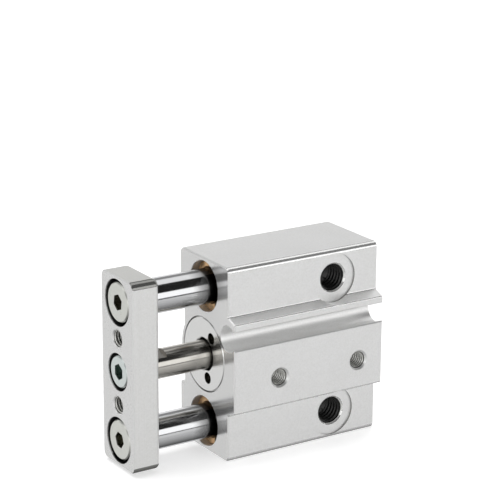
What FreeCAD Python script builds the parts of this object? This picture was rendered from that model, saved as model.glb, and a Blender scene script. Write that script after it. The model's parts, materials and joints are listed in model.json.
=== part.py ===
"""Guided pneumatic cylinder: a block body, a piston rod between two guide rods, and the plate they carry.

Frame: +X points out of the rod end along the stroke, +Y to the side with the air ports, +Z up.
The origin is on the cylinder axis, in the plane of the body's rod-end face. Sizes are in millimetres.
The rods are drawn fully out. Drawn back, the plate, rods, piston and screws sit one stroke towards -X.
"""

import FreeCAD
import Part

import math
import os

Vector = FreeCAD.Vector
X_AXIS = Vector(1, 0, 0)
Y_AXIS = Vector(0, 1, 0)

# The stack along the bore. These lengths add up to the length of the body.
stroke = 10.0
cover_length = 7.8              # rod cover, from the rod-end face to its inner end
front_bumper_thickness = 1.0
end_play = 0.2                  # left between the piston and either bumper
front_land = 0.8                # piston ahead of its seal
seal_groove_width = 1.5
middle_land = 0.8               # piston between its seal and its magnet
magnet_groove_width = 2.2
rear_disc_thickness = 1.1       # the disc that holds the magnet on
rear_bumper_thickness = 0.8
head_cover_length = 2.2
ring_thickness = 0.7            # retaining ring behind the head cover
rear_lip = 0.7                  # body behind the ring's groove

# Body outline
body_height = 34.0
port_side = 7.7                 # cylinder axis to the face with the ports
far_side = 7.6                  # cylinder axis to the opposite face
body_edge = 0.9                 # rounding of the four long edges
end_chamfer = 0.2               # chamfer round both ends of the body
band_rise = 2.0                 # raised band along the middle of the port side
band_half = 7.8
shoulder_run = 0.8              # slope between the band and the port side
band_edge = 0.3                 # rounding of the band's edges and of the shoulders' feet
recess_depth = 1.25             # recess along the middle of the far side
recess_half = 7.1
barrel_wall = 2.3               # rib around the bore inside that recess

# Sensor groove along the band
groove_radius = 2.3
groove_depth = 2.05             # face of the band to the middle of the groove
groove_z = 4.95
groove_mouth = 3.3
groove_edge = 0.15              # chamfer along both sides of the mouth

# Bore, covers and ring
bore_radius = 5.0
cover_radius = 6.45
cover_gap = 0.12                # radial gap round the rod cover
cover_flange = 4.5
cover_edge = 0.1
cover_rim = 0.2                 # chamfer round the cover's outer face
oring_inset = 1.1               # face of the flange to the groove of the rod cover's O-ring
oring_groove = 1.2
oring_groove_depth = 0.9
rod_hole_radius = 2.8
rod_hole_chamfer = 0.2
rod_hole_depth = 2.1
rod_seal_width = 1.6
rod_seal_outer = 4.0
pin_hole_radius = 1.0           # two blind holes for the pin spanner
pin_hole_circle = 4.1
pin_hole_depth = 1.4
pin_hole_turns = (55.5, -72.5)  # degrees from +Y towards +Z
rod_bush_wall = 0.65
head_seat_step = 0.5            # the head cover's seat is this much wider than the bore
head_groove_inset = 0.5
head_groove_width = 1.0
head_groove_depth = 0.75
head_dish_radius = 3.2
head_dish_depth = 0.4
ring_groove_depth = 0.5
ring_width = 1.2
ring_opening = 50.0             # degrees
ring_lug_radius = 0.85
ring_lug_hole = 0.4

# Rods
rod_radius = 2.5
rod_tail_radius = 1.6           # reduced end that the piston sits on
rivet_radius = 2.2
rivet_length = 0.6
wrench_flats = 4.0              # across the flats
flats_length = 3.3
flats_turn = 12.0               # degrees from +Z towards +Y
guide_rod_radius = 3.0
guide_pitch = 24.0              # between the two guide rods
guide_engagement = 7.0          # guide rod inside the body when the rods are out
guide_spigot = 0.5              # guide rod let into the back of the plate
guide_bore_slack = 0.3          # radial, behind the bush
guide_bore_margin = 0.4         # beyond the rod's inner end when drawn back
rod_edge = 0.3
guide_bush_wall = 1.35
guide_bush_length = 7.4
guide_bush_inset = 1.2          # bush face behind the rod-end face
guide_bush_edge = 0.2
guide_mouth_chamfer = 0.1       # at the mouth of the bush's bore

# Piston
piston_slack = 0.1              # radial, to the bore
seal_slack = 0.03
seal_groove_floor = 3.4
magnet_floor = 2.9
magnet_inset = 0.2              # magnet below the piston's surface
bumper_slack = 0.8              # radial, between the bumpers and the bore, so that air passes
bumper_hole_slack = 0.4         # radial, between the bumpers and the rod

# Plate and its screws
closed_gap = 1.5                # between the body and the plate with the rods drawn back
plate_thickness = 5.0
plate_half_width = 5.2
plate_height = 33.0
plate_corner = 1.2
plate_edge = 0.15               # round the front face
plate_back_edge = 0.8           # rounding round the back face
plate_tap_spread = 11.6         # between the two tapped holes
guide_head_radius = 3.4
guide_head_height = 2.8
guide_screw_radius = 2.0
guide_screw_length = 8.0
guide_counterbore = 4.0
rod_head_radius = 2.75
rod_head_height = 3.0
rod_screw_radius = 1.5
rod_screw_length = 8.0
rod_counterbore = 3.25
head_inset = 0.15               # screw heads below the plate's face
head_edge = 0.2
hex_flats = 2.5                 # across the flats, on all three screws
guide_hex_depth = 1.4
rod_hex_depth = 1.5
hex_turns = {"top": 21.5, "bottom": 52.0, "rod": 30.0}   # degrees from +Y towards +Z
screw_hole_slack = 0.25         # radial, through the plate
tap_run_out = 0.8               # tapped hole beyond the screw's end

# Threaded holes in the body. Their walls are at the thread's nominal radius.
mount_tap_radius = 1.5
mount_tap_depth = 4.0
mount_tap_chamfer = 0.3
plate_tap_chamfer = 0.12
side_tap_from_front = 9.0
side_tap_pitch = 16.0
side_tap_z = -2.9
rear_tap_depth = 5.0
port_radius = 2.5
port_chamfer = 0.1
port_depth = 6.4
port_from_rear = 9.0
port_spread = 24.0              # between the two ports
spotface_radius = 4.3
spotface_depth = 0.3
drill_point = 59.0              # degrees, half the angle of a drill's point
passage_radius = 0.5
passage_into_port = 5.1         # below the port side, where the passage meets the port's wall
passage_end_turn = 60.0         # degrees from +Y towards the port, where it meets the bore

# Fits
fit_gap = 0.02                  # radial, between pieces that are fixed together
running_gap = 0.03              # radial, between a bush or seal and the rod that slides in it
squeeze_gap = 0.01              # radial, between an O-ring and the walls that squeeze it

# Places along X
cover_end = -cover_length
front_bumper_face = cover_end - front_bumper_thickness
piston_face = front_bumper_face - end_play
seal_start = piston_face - front_land
seal_end = seal_start - seal_groove_width
magnet_start = seal_end - middle_land
magnet_end = magnet_start - magnet_groove_width
piston_end = magnet_end - rear_disc_thickness
rear_bumper_face = piston_end - stroke - end_play
head_cover_face = rear_bumper_face - rear_bumper_thickness
ring_face = head_cover_face - head_cover_length
ring_end = ring_face - ring_thickness
rear_face = ring_end - rear_lip
plate_back = closed_gap + stroke
plate_front = plate_back + plate_thickness
head_top = plate_front - head_inset
flats_end = plate_back - flats_length
port_x = rear_face + port_from_rear
side_taps = [-side_tap_from_front, -side_tap_from_front - side_tap_pitch]

# Places across the body
band_face = port_side + band_rise
guide_z = guide_pitch / 2
guide_bush_outer = guide_rod_radius + guide_bush_wall
head_seat_radius = bore_radius + head_seat_step
ring_groove_radius = head_seat_radius + ring_groove_depth
beyond = 1.0                    # how far a cutting tool runs past the face it opens


def cylinder_x(radius, x_from, x_to, y=0.0, z=0.0):
    """A round bar along X between two places."""
    return Part.makeCylinder(radius, abs(x_to - x_from), Vector(min(x_from, x_to), y, z), X_AXIS)


def tube_x(outer, inner, x_from, x_to, y=0.0, z=0.0):
    """A round tube along X."""
    wall = cylinder_x(outer, x_from, x_to, y, z)
    return wall.cut(cylinder_x(inner, x_from - beyond, x_to + beyond, y, z)
                    .fuse(cylinder_x(inner, x_to - beyond, x_from + beyond, y, z)))


def block(x_from, x_to, y_from, y_to, z_from, z_to):
    """A box between two corners."""
    size = (x_to - x_from, y_to - y_from, z_to - z_from)
    return Part.makeBox(*size, Vector(x_from, y_from, z_from))


def turned(outline, y=0.0, z=0.0):
    """A piece turned about an axis along X, from its outline of (x, radius) points."""
    points = [Vector(x, radius, 0) for x, radius in outline]
    face = Part.Face(Part.makePolygon(points + points[:1]))
    piece = face.revolve(Vector(0, 0, 0), X_AXIS, 360)
    piece.translate(Vector(0, y, z))
    return piece


def hole(mouth, into, radius, depth, chamfer):
    """The tool for a blind drilled hole: a straight wall, a drill's point and a chamfered mouth."""
    start = mouth - into * beyond
    tip = radius / math.tan(math.radians(drill_point))
    tool = Part.makeCylinder(radius, depth + beyond, start, into)
    tool = tool.fuse(Part.makeCone(radius, 0, tip, mouth + into * depth, into))
    wide = radius + chamfer + beyond
    return tool.fuse(Part.makeCone(wide, radius, chamfer + beyond, start, into))


def edges_along_x(shape):
    """The straight edges that run along X."""
    return [edge for edge in shape.Edges
            if edge.BoundBox.XLength > edge.BoundBox.YLength + edge.BoundBox.ZLength]


def edges_at_x(shape, places):
    """The edges that lie flat in the planes at these places along X."""
    flat = 1e-6
    return [edge for edge in shape.Edges
            if edge.BoundBox.XLength < flat and any(abs(edge.BoundBox.XMin - x) < flat for x in places)]


def band_prism():
    """The raised band of the port side, with its two sloping shoulders."""
    foot = band_half + shoulder_run
    outline = [(0.0, foot), (port_side, foot), (band_face, band_half),
               (band_face, -band_half), (port_side, -foot), (0.0, -foot)]
    points = [Vector(rear_face, y, z) for y, z in outline]
    return Part.Face(Part.makePolygon(points + points[:1])).extrude(X_AXIS * -rear_face)


def band_edges(shape):
    """The long edges of the band's two shoulders, at their tops and at their feet."""
    top, foot = band_half, band_half + shoulder_run
    near = 1e-6
    places = [(band_face, top), (port_side, foot)]
    return [edge for edge in edges_along_x(shape)
            if any(abs(edge.BoundBox.YMin - y) < near and abs(abs(edge.BoundBox.ZMin) - z) < near
                   for y, z in places)]


def body_blank():
    """The drawn bar: two guide portions, the band, and the rib around the bore in the far side's recess."""
    half = body_height / 2
    bar = block(rear_face, 0, -far_side, port_side, -half, half)
    bar = bar.makeFillet(body_edge, edges_along_x(bar))
    recess = block(rear_face, 0, -far_side, -far_side + recess_depth, -recess_half, recess_half)
    bar = bar.cut(recess).fuse([cylinder_x(bore_radius + barrel_wall, rear_face, 0), band_prism()])
    bar = bar.removeSplitter()
    bar = bar.makeFillet(band_edge, band_edges(bar))
    return bar.makeChamfer(end_chamfer, edges_at_x(bar, (0, rear_face)))


def sensor_groove():
    """The tool for the round groove and its narrower mouth, open at both ends."""
    middle = band_face - groove_depth
    ends = (rear_face - beyond, beyond)
    half = groove_mouth / 2
    outline = [(middle, half), (band_face - groove_edge, half),
               (band_face + beyond, half + groove_edge + beyond)]
    points = [Vector(ends[0], y, groove_z + z) for y, z in outline]
    points += [Vector(ends[0], y, groove_z - z) for y, z in reversed(outline)]
    mouth = Part.Face(Part.makePolygon(points + points[:1])).extrude(X_AXIS * (ends[1] - ends[0]))
    return cylinder_x(groove_radius, *ends, middle, groove_z).fuse(mouth)


def bore_tools():
    """The tools for the bore, the seats of both covers and the groove of the retaining ring."""
    return [cylinder_x(bore_radius, rear_face, 0),
            cylinder_x(cover_radius + cover_gap, -cover_flange, beyond),
            cylinder_x(head_seat_radius, rear_face - beyond, head_cover_face),
            cylinder_x(ring_groove_radius, ring_end, ring_face)]


def guide_tools(z):
    """The tools for one guide rod: the bore of the bush, its chamfered mouth and the blind bore behind."""
    bush_end = -guide_bush_inset - guide_bush_length
    blind_end = -guide_engagement - stroke - guide_bore_margin
    seat = guide_bush_outer + fit_gap
    mouth = Part.makeCone(seat, seat + guide_mouth_chamfer + beyond, guide_mouth_chamfer + beyond,
                          Vector(-guide_mouth_chamfer, 0, z), X_AXIS)
    return [mouth, cylinder_x(seat, bush_end, beyond, 0, z),
            cylinder_x(guide_rod_radius + guide_bore_slack, blind_end, 0, 0, z)]


def port_tools(side):
    """The tools for one air port and its spotface. side is +1 for the upper port and -1 for the lower."""
    z = side * port_spread / 2
    floor = port_side - spotface_depth
    port = hole(Vector(port_x, floor, z), -Y_AXIS, port_radius, port_depth, port_chamfer)
    spotface = Part.makeCylinder(spotface_radius, band_rise + beyond, Vector(port_x, floor, z), Y_AXIS)
    return [port, spotface]


def passage_tool(side, x_chamber):
    """The slanting air passage from one port to its end of the bore, drilled through the open bore."""
    z_wall = side * (port_spread / 2 - port_radius)
    start = Vector(port_x, port_side - passage_into_port, z_wall + side * passage_radius)
    turn = math.radians(passage_end_turn)
    inside = bore_radius - passage_radius
    end = Vector(x_chamber, inside * math.cos(turn), side * inside * math.sin(turn))
    return Part.makeCylinder(passage_radius, (end - start).Length, start, end - start)


def side_tap_tools():
    """The tools for the two threaded holes in the band."""
    return [hole(Vector(x, band_face, side_tap_z), -Y_AXIS, mount_tap_radius, mount_tap_depth,
                 mount_tap_chamfer) for x in side_taps]


def rear_tap_tools():
    """The tools for the two threaded holes in the rear face, in line with the guide rods."""
    return [hole(Vector(rear_face, 0, z), X_AXIS, mount_tap_radius, rear_tap_depth, mount_tap_chamfer)
            for z in (guide_z, -guide_z)]


def body():
    """The body with every groove, bore, port and threaded hole."""
    tools = [sensor_groove()] + bore_tools() + side_tap_tools() + rear_tap_tools()
    for side in (1, -1):
        tools += guide_tools(side * guide_z) + port_tools(side)
    tools.append(passage_tool(1, rear_bumper_face - rear_bumper_thickness / 2))
    tools.append(passage_tool(-1, cover_end - (front_bumper_thickness + end_play) / 2))
    return body_blank().cut(tools)


def rod_cover():
    """The round cover of the rod end: a flange flush with the body and a spigot with an O-ring groove."""
    spigot = bore_radius - fit_gap
    groove = -cover_flange - oring_inset
    seal_end_x = -rod_hole_depth - rod_seal_width
    bush_seat = rod_radius + running_gap + rod_bush_wall + fit_gap
    cover = turned([(0, rod_hole_radius + rod_hole_chamfer), (0, cover_radius - cover_rim),
                    (-cover_rim, cover_radius), (-cover_flange, cover_radius), (-cover_flange, spigot),
                    (groove, spigot), (groove, bore_radius - oring_groove_depth),
                    (groove - oring_groove, bore_radius - oring_groove_depth),
                    (groove - oring_groove, spigot), (cover_end + cover_edge, spigot),
                    (cover_end, spigot - cover_edge), (cover_end, bush_seat), (seal_end_x, bush_seat),
                    (seal_end_x, rod_seal_outer), (-rod_hole_depth, rod_seal_outer),
                    (-rod_hole_depth, rod_hole_radius), (-rod_hole_chamfer, rod_hole_radius)])
    for turn in map(math.radians, pin_hole_turns):
        y, z = pin_hole_circle * math.cos(turn), pin_hole_circle * math.sin(turn)
        cover = cover.cut(cylinder_x(pin_hole_radius, -pin_hole_depth, beyond, y, z))
    return cover


def o_ring(x, inner, outer):
    """An O-ring round the X axis that just fills the height between two walls."""
    section = (outer - inner) / 2 - squeeze_gap
    return Part.makeTorus((inner + outer) / 2, section, Vector(x, 0, 0), X_AXIS)


def rod_cover_oring():
    """The O-ring between the rod cover and the bore."""
    x = -cover_flange - oring_inset - oring_groove / 2
    return o_ring(x, bore_radius - oring_groove_depth, bore_radius)


def lip_seal(x_front, width, inner, outer):
    """A lip seal with a notch between its lips on the side towards -X."""
    notch = width / 2
    middle = (inner + outer) / 2
    return turned([(x_front, inner), (x_front, outer), (x_front - width, outer),
                   (x_front - width, middle + (outer - middle) / 2), (x_front - width + notch, middle),
                   (x_front - width, middle - (middle - inner) / 2), (x_front - width, inner)])


def rod_seal():
    """The seal that keeps air in round the piston rod."""
    inset = fit_gap
    return lip_seal(-rod_hole_depth - inset, rod_seal_width - 2 * inset, rod_radius + running_gap,
                    rod_seal_outer - fit_gap)


def bush(x_front, length, inner, wall, edge, z=0.0):
    """A plain bush with its edges broken."""
    outer = inner + wall
    x_back = x_front - length
    return turned([(x_front, inner + edge), (x_front, outer - edge), (x_front - edge, outer),
                   (x_back + edge, outer), (x_back, outer - edge), (x_back, inner + edge),
                   (x_back + edge, inner), (x_front - edge, inner)], z=z)


def rod_bush():
    """The bush in the rod cover that guides the piston rod."""
    front = -rod_hole_depth - rod_seal_width - fit_gap
    length = front - cover_end - cover_edge
    return bush(front, length, rod_radius + running_gap, rod_bush_wall, cover_edge)


def bumper(x_from, x_to):
    """A rubber ring that stops the piston and leaves room round itself for air."""
    return tube_x(bore_radius - bumper_slack, rod_radius + bumper_hole_slack, x_from, x_to)


def front_bumper():
    """The rubber ring on the inner end of the rod cover."""
    return bumper(front_bumper_face, cover_end)


def rear_bumper():
    """The rubber ring on the head cover."""
    return bumper(head_cover_face, rear_bumper_face)


def head_cover():
    """The disc that closes the rear end of the bore, with an O-ring groove and a dished outer face."""
    outer = head_seat_radius - fit_gap
    floor = head_seat_radius - head_groove_depth
    groove = head_cover_face - head_groove_inset
    return turned([(head_cover_face, 0), (head_cover_face, outer), (groove, outer), (groove, floor),
                   (groove - head_groove_width, floor), (groove - head_groove_width, outer),
                   (ring_face, outer), (ring_face, head_dish_radius),
                   (ring_face + head_dish_depth, head_dish_radius - head_dish_depth),
                   (ring_face + head_dish_depth, 0)])


def head_cover_oring():
    """The O-ring between the head cover and its seat."""
    x = head_cover_face - head_groove_inset - head_groove_width / 2
    return o_ring(x, head_seat_radius - head_groove_depth, head_seat_radius)


def retaining_ring():
    """The open spring ring that holds the head cover, with a plier hole in each lug."""
    outer = ring_groove_radius - fit_gap
    inner = outer - ring_width
    front, back = ring_face - fit_gap, ring_end + fit_gap
    ring = tube_x(outer, inner, back, front)
    half = math.radians(ring_opening / 2)
    reach = outer + beyond
    wedge = [Vector(back - beyond, 0, 0),
             Vector(back - beyond, reach * math.tan(half), -reach),
             Vector(back - beyond, -reach * math.tan(half), -reach)]
    gap = Part.Face(Part.makePolygon(wedge + wedge[:1])).extrude(X_AXIS * (ring_thickness + 2 * beyond))
    ring = ring.cut(gap)
    for side in (1, -1):
        lug_circle = inner + ring_width / 2 - ring_lug_hole
        y, z = side * lug_circle * math.sin(half), -lug_circle * math.cos(half)
        ring = ring.fuse(cylinder_x(ring_lug_radius, back, front, y, z))
        ring = ring.cut(cylinder_x(ring_lug_hole, back - beyond, front + beyond, y, z))
    return ring.removeSplitter()


def piston_rod():
    """The rod: tapped end with wrench flats at the plate, reduced end riveted over behind the piston."""
    tap_end = head_top - rod_head_height - rod_screw_length - tap_run_out
    tap_wall = rod_screw_radius + fit_gap
    rod = turned([(plate_back, tap_wall), (plate_back, rod_radius), (piston_face, rod_radius),
                  (piston_face, rod_tail_radius), (piston_end + rivet_length, rod_tail_radius),
                  (piston_end, rivet_radius), (piston_end, 0), (tap_end, 0), (tap_end, tap_wall)])
    for side in (1, -1):
        away = wrench_flats / 2
        chip = block(flats_end, plate_back + beyond, -rod_radius, rod_radius, away, rod_radius + beyond)
        chip.rotate(Vector(0, 0, 0), X_AXIS, -flats_turn + (0 if side > 0 else 180))
        rod = rod.cut(chip)
    return rod


def piston_front():
    """The front part of the piston, with the seal's groove and the hub that carries the magnet."""
    outer = bore_radius - piston_slack
    hub = rod_tail_radius + fit_gap
    return turned([(piston_face, hub), (piston_face, outer), (seal_start, outer),
                   (seal_start, seal_groove_floor), (seal_end, seal_groove_floor), (seal_end, outer),
                   (magnet_start, outer), (magnet_start, magnet_floor), (magnet_end, magnet_floor),
                   (magnet_end, hub)])


def piston_seal():
    """The seal between the piston and the bore."""
    return lip_seal(seal_start - fit_gap, seal_groove_width - 2 * fit_gap,
                    seal_groove_floor + fit_gap, bore_radius - seal_slack)


def piston_magnet():
    """The ring magnet that a sensor in the groove detects."""
    outer = bore_radius - piston_slack - magnet_inset
    return tube_x(outer, magnet_floor + fit_gap, magnet_end + fit_gap, magnet_start - fit_gap)


def piston_rear():
    """The rear disc of the piston, countersunk for the rod's riveted end."""
    outer = bore_radius - piston_slack
    hub = rod_tail_radius + fit_gap
    return turned([(magnet_end, hub), (magnet_end, outer), (piston_end, outer),
                   (piston_end, rivet_radius + fit_gap), (piston_end + rivet_length, hub)])


def guide_bush(z):
    """The sintered bush of one guide rod."""
    return bush(-guide_bush_inset, guide_bush_length, guide_rod_radius + running_gap,
                guide_bush_wall - running_gap, guide_bush_edge, z)


def guide_rod(z):
    """One guide rod, let into the plate and tapped for its screw."""
    outer_end = plate_back + guide_spigot
    inner_end = -guide_engagement
    tap_end = head_top - guide_head_height - guide_screw_length - tap_run_out
    tap_wall = guide_screw_radius + fit_gap
    return turned([(outer_end, tap_wall), (outer_end, guide_rod_radius - rod_edge),
                   (outer_end - rod_edge, guide_rod_radius), (inner_end + rod_edge, guide_rod_radius),
                   (inner_end, guide_rod_radius - rod_edge), (inner_end, 0), (tap_end, 0),
                   (tap_end, tap_wall)], z=z)


def plate_screw_tools(z, counterbore, head_height, screw_radius):
    """The tools for one screw's counterbore and clearance hole in the plate."""
    seat = head_top - head_height
    return [cylinder_x(counterbore, seat, plate_front + beyond, 0, z),
            cylinder_x(screw_radius + screw_hole_slack, plate_back - beyond, plate_front, 0, z)]


def plate():
    """The plate across the ends of the three rods."""
    half = plate_height / 2
    bar = block(plate_back, plate_front, -plate_half_width, plate_half_width, -half, half)
    bar = bar.makeFillet(plate_corner, edges_along_x(bar))
    bar = bar.makeChamfer(plate_edge, edges_at_x(bar, (plate_front,)))
    bar = bar.makeFillet(plate_back_edge, edges_at_x(bar, (plate_back,)))
    tools = plate_screw_tools(0, rod_counterbore, rod_head_height, rod_screw_radius)
    for side in (1, -1):
        z = side * guide_z
        tools += plate_screw_tools(z, guide_counterbore, guide_head_height, guide_screw_radius)
        tools.append(cylinder_x(guide_rod_radius + fit_gap, plate_back - beyond,
                                plate_back + guide_spigot, 0, z))
        tap_z = side * plate_tap_spread / 2
        tools.append(hole(Vector(plate_front, 0, tap_z), -X_AXIS, mount_tap_radius,
                          plate_thickness, plate_tap_chamfer))
        tools.append(hole(Vector(plate_back, 0, tap_z), X_AXIS, mount_tap_radius,
                          plate_thickness, plate_tap_chamfer))
    return bar.cut(tools)


def socket_screw(z, radius, length, head_radius, head_height, hex_depth, hex_turn):
    """A socket head screw with its head in the plate and its plain shank in a rod."""
    seat = head_top - head_height
    tip = seat - length
    screw = turned([(head_top, 0), (head_top, head_radius - head_edge), (head_top - head_edge, head_radius),
                    (seat, head_radius), (seat, radius), (tip + head_edge, radius),
                    (tip, radius - head_edge), (tip, 0)])
    corner = hex_flats / math.sqrt(3)
    turns = [math.radians(hex_turn + 60 * side) for side in range(6)]
    points = [Vector(head_top - hex_depth, corner * math.cos(turn), corner * math.sin(turn))
              for turn in turns]
    socket = Part.Face(Part.makePolygon(points + points[:1])).extrude(X_AXIS * (hex_depth + beyond))
    screw = screw.cut(socket)
    screw.translate(Vector(0, 0, z))
    return screw


def guide_screw(side, name):
    """The screw that holds one guide rod to the plate."""
    return socket_screw(side * guide_z, guide_screw_radius, guide_screw_length, guide_head_radius,
                        guide_head_height, guide_hex_depth, hex_turns[name])


def rod_screw():
    """The screw that holds the piston rod to the plate."""
    return socket_screw(0, rod_screw_radius, rod_screw_length, rod_head_radius, rod_head_height,
                        rod_hex_depth, hex_turns["rod"])


def pieces():
    """Every piece by its node's name."""
    made = {"body": body(), "rod_cover": rod_cover(), "rod_cover_oring": rod_cover_oring(),
            "rod_seal": rod_seal(), "rod_bush": rod_bush(), "front_bumper": front_bumper(),
            "rear_bumper": rear_bumper(), "head_cover": head_cover(),
            "head_cover_oring": head_cover_oring(), "retaining_ring": retaining_ring(),
            "piston_rod": piston_rod(), "piston_front": piston_front(), "piston_seal": piston_seal(),
            "piston_magnet": piston_magnet(), "piston_rear": piston_rear(), "plate": plate(),
            "rod_screw": rod_screw()}
    for name, side in (("top", 1), ("bottom", -1)):
        made["guide_bush_" + name] = guide_bush(side * guide_z)
        made["guide_rod_" + name] = guide_rod(side * guide_z)
        made["guide_screw_" + name] = guide_screw(side, name)
    return made


os.makedirs("parts", exist_ok=True)
for node, shape in pieces().items():
    solids = shape.Solids
    print(node, "solids", len(solids), "valid", shape.isValid(), "volume", round(shape.Volume, 3))
    Part.makeCompound(solids).exportStep("parts/" + node + ".step")
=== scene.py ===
"""Looks of a guided pneumatic cylinder: the finish of each piece, the threads in its holes, and a studio.

Everything is in metres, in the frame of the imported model: +X out of the rod end, +Y to the side with the
air ports, +Z up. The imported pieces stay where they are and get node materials. What is added are the
threads of the ports and of the tapped holes, each a surface worked out as arrays.
"""

import json
import math

import bpy
import numpy as np
from bpy.props import FloatProperty, FloatVectorProperty, IntProperty, PointerProperty
from mathutils import Matrix, Vector


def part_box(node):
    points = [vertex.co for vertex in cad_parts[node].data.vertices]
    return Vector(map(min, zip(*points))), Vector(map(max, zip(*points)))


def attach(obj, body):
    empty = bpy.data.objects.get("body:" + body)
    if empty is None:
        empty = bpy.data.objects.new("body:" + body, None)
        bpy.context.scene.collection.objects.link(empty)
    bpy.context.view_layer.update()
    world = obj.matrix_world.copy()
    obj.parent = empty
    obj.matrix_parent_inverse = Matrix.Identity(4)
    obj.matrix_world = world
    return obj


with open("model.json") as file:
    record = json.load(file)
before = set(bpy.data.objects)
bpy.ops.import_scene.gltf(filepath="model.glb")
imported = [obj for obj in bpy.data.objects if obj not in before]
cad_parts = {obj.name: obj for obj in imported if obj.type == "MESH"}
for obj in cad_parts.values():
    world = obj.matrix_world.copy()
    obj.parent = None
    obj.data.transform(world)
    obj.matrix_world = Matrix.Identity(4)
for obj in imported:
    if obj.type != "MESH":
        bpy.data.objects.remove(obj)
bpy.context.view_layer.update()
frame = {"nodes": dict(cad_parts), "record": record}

bl_info = {
    "name": "Guided cylinder looks",
    "version": (1, 0, 0),
    "blender": (4, 5, 0),
    "location": "3D View > Sidebar > Cylinder",
    "description": "Finishes, threads and studio of a guided pneumatic cylinder",
    "category": "Object",
}

MM = 0.001


def mount(name):
    """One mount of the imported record."""
    return next(entry for entry in frame["record"]["mounts"] if entry["name"] == name)


def middle(node, axis):
    """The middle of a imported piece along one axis, in millimetres."""
    low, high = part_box(node)
    return (low[axis] + high[axis]) / 2 / MM


# Places on the pieces, in millimetres
GUIDE_HEIGHT = middle("guide_rod_top", 2)       # guide rods above and below the cylinder axis
PORT_X = mount("port_top")["pos_m"][0] / MM
PLATE_BACK, PLATE_FRONT = (corner.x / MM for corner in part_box("plate"))
PLATE_EDGES = 15.2                  # height where the plate's long roundings begin
BODY_EDGES = 7.4                    # height beyond which the body's roundings are looked for
GUIDE_BORE = 4.45                   # just past the radius of the body's guide bores
GUIDE_BORE_X = (-9.0, -0.12)        # the part of those bores that gets painted shade
GUIDE_COUNTERBORE = 4.05            # just past the radius of the plate's outer counterbores
ROD_COUNTERBORE = 3.3               # and of its middle one
COUNTERBORE_LIP = 0.2               # bright rim of a counterbore
SHADED_SIDE = 1.6                     # the place along Y past which a bore and its bush get painted shade
SPOTFACE = 4.4                      # just past the radius of the ports' spotfaces
SIDE_FACE = 7.72                    # just outside the body's face with the ports
SPANNER_HOLES_X = (-1.8, -0.22)     # walls of the rod cover's spanner holes
SCREW_RIM = 16.12                   # just under the screws' faces
PORT_MOUTH = 7.14                   # the place along Y below which a port is dark
SIDE_TAP_MOUTH = 9.38               # and a side tap
REAR_TAP_MOUTH = 0.0                # the place along X below which a rear tap is dark
GUIDE_ROD_DARK_REFLECTION = (-0.3, 3.8)         # from full painted dark reflection to none along a guide rod
PISTON_ROD_DARK_REFLECTION = (-0.2, 1.2)        # and along the piston rod

# Roughness of edges, and directions
EDGE_ROUGHNESS = 0.08               # drawn roundings along the body and the plate
CHAMFER_ROUGHNESS = 0.35            # milled chamfers round the ends
SHOULDER_FACING = 0.9285            # how far the band's flat shoulders face along Z
FLAT_FACING = 0.97                  # a flat face squarely along an axis
STRETCH = 0.9                       # of reflections along a rod, as anisotropy
QUARTER_TURN = 0.25                 # of that stretch, as a share of a full turn

# Shares of the colour, red, green and blue, that darker places keep
END_SHARE = (0.91, 0.91, 0.91)      # milled ends, painted shade
EDGE_SHARE = (0.33, 0.33, 0.32)     # painted shade on the roundings of the plate and the walls of the spotfaces
TOP_SHARE = (0.76, 0.76, 0.74)      # painted shade on the top and bottom of the plate
BRUSHED_SHARE = (0.94, 0.94, 0.93)  # dark lines of the plate's brushed sides
HOLE_SHARE = (0.1, 0.1, 0.1)        # painted shade in counterbores
# painted shade in the rod cover's spanner holes
SPANNER_HOLE_SHARE = (0.28, 0.27, 0.25)
SHADE_SHARE = (0.1, 0.095, 0.09)      # painted shade in bores and bushes, and painted dark reflection on rods
SOCKET_SHARE = (0.2, 0.19, 0.14)    # painted shade in the sockets and below the rims of the guide screws
# painted shade in the socket and below the rim of the middle screw
ROD_SOCKET_SHARE = (0.26, 0.33, 0.3)
PORT_SHARE = (0.035, 0.035, 0.035)  # painted shade inside the ports
# painted shade inside the tapped holes of the band, the rear face and the plate
SIDE_TAP_SHARE = (0.78, 0.78, 0.76)
REAR_TAP_SHARE = (0.9, 0.9, 0.88)
PLATE_TAP_SHARE = (0.85, 0.85, 0.83)
ROOT_SHARE = (0.08, 0.08, 0.075)    # painted shade in the roots of every thread

# Shape of the threads
THREAD_HEIGHT = 0.5413              # crest to nominal radius, in pitches
CREST_FLAT = 0.25                   # crest's flat, as a share of the pitch
FLANK = 0.625                       # the two flanks together, as a share of the pitch
DRILL_ANGLE = math.radians(59)      # half the angle of a drill's point
SHARP_ANGLE = math.radians(28)      # faces that meet at more than this keep a hard edge

# Reach of the cards of the light tent, in degrees above the +Y horizon round the X axis
SOFT_ARC = (-4.5, 27.0)
FRONT_ARC = (30.0, 84.0)
BACK_ARC = (124.0, 153.0)
TABLE_EDGE_ARC = (-9.5, -4.5)
UNDER_ARC = (-112.0, -9.5)
FAR_ARC = (-178.0, -112.0)
FALL = (math.radians(12), math.radians(96))     # below the horizon, where the light of the under card falls
CARD_STEPS = 48
CARD_RADIUS = 0.5                   # in metres, as are the next sizes
CARD_HALF_LENGTH = 1.0
FLOOR_REACH = 4.0
FLOOR_ALBEDO = 0.82
PANEL_WIDTH, PANEL_HEIGHT = 0.8, 0.35


# ---------------------------------------------------------------- settings

def colour_property(name, description, default):
    """A colour that a user may change, red, green and blue from 0 to 1."""
    return FloatVectorProperty(name=name, description=description, default=default, subtype="COLOR",
                               size=3, min=0.0, max=1.0)


def roughness_property(name, default):
    """How blurred a surface's reflections are, from 0 to 1."""
    return FloatProperty(name=name, description="Blur of the surface's reflections", default=default,
                         min=0.0, max=1.0, subtype="FACTOR")


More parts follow.
